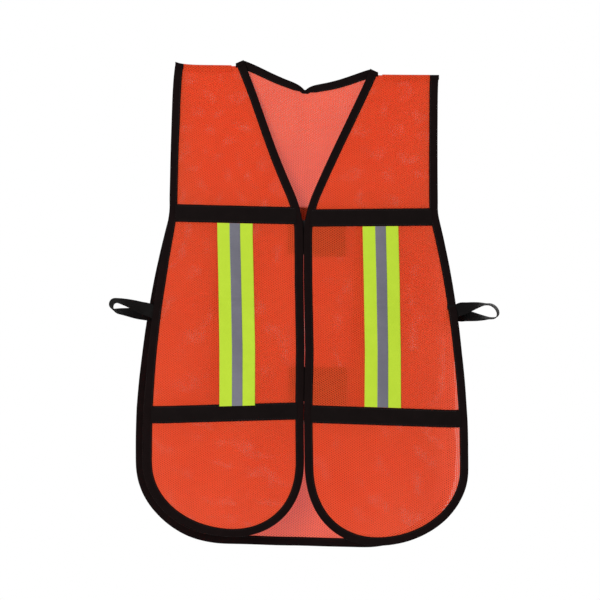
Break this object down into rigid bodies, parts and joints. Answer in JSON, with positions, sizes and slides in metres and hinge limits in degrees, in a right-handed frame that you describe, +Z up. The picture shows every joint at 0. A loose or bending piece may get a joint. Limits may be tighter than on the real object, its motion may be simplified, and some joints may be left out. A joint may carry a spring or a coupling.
{
  "type": "high visibility vest",
  "caption": "Open-sided mesh safety vest with V neck and front opening, edge binding, cross bands, vertical reflective stripes, hook-and-loop closure and side strap loops.",
  "frame": {"origin": "middle of the shoulder line, where a hanger or a wearer's shoulders hold the vest", "axes": "+Z up from the hem to the shoulders, +X to the right as seen from the front, front faces -Y"},
  "size_m": [0.554, 0.0654, 0.6815],
  "materials": {
    "mesh": "open polyester mesh",
    "binding": "woven tape",
    "webbing": "ribbed webbing",
    "strap": "ribbed webbing",
    "lime_tape": "fluorescent woven tape",
    "silver_strip": "glass bead retroreflective",
    "closure_pad": "hook and loop tape"
  },
  "bodies": {
    "back": {"back_panel": "mesh", "front_yoke_left": "mesh", "front_yoke_right": "mesh", "shoulder_seam_left": "mesh", "shoulder_seam_right": "mesh", "back_neck_binding": "binding", "back_side_binding_left": "binding", "back_side_binding_right": "binding", "back_hem_binding": "binding", "armhole_binding_left": "binding", "armhole_binding_right": "binding", "back_chest_band": "webbing", "back_lower_band": "webbing", "chest_band_end_left": "webbing", "chest_band_end_right": "webbing", "back_left_lime_tape": "lime_tape", "back_right_lime_tape": "lime_tape", "back_left_silver_strip": "silver_strip", "back_right_silver_strip": "silver_strip"},
    "front_left": {"front_panel_left": "mesh", "neck_binding_left": "binding", "opening_binding_left": "binding", "front_hem_binding_left": "binding", "front_side_binding_left": "binding", "chest_band_left": "webbing", "lower_band_left": "webbing", "front_left_lime_tape": "lime_tape", "front_left_silver_strip": "silver_strip", "hook_tab_upper": "closure_pad", "hook_tab_lower": "closure_pad"},
    "front_right": {"front_panel_right": "mesh", "neck_binding_right": "binding", "opening_binding_right": "binding", "front_hem_binding_right": "binding", "front_side_binding_right": "binding", "chest_band_right": "webbing", "lower_band_right": "webbing", "front_right_lime_tape": "lime_tape", "front_right_silver_strip": "silver_strip", "loop_pad_upper": "closure_pad", "loop_pad_lower": "closure_pad"},
    "strap_left": {"side_strap_left": "strap"},
    "strap_right": {"side_strap_right": "strap"}
  },
  "joints": [
    {"name": "front_left_opening", "type": "hinge", "parent": "back", "child": "front_left", "pos_m": [-0.106, -0.0039, 0.00009], "axis": [-0.2678, -0.042, -0.9626], "range_deg": [0, 150], "deforming": ["hook_tab_upper", "hook_tab_lower"]},
    {"name": "front_right_opening", "type": "hinge", "parent": "back", "child": "front_right", "pos_m": [0.106, -0.0039, 0.00009], "axis": [-0.2678, 0.042, 0.9626], "range_deg": [0, 150]},
    {"name": "strap_left_flop", "type": "hinge", "parent": "back", "child": "strap_left", "pos_m": [-0.212, 0, -0.346], "axis": [0, 1, 0], "range_deg": [-45, 45]},
    {"name": "strap_right_flop", "type": "hinge", "parent": "back", "child": "strap_right", "pos_m": [0.212, 0, -0.346], "axis": [0, 1, 0], "range_deg": [-45, 45]}
  ]
}
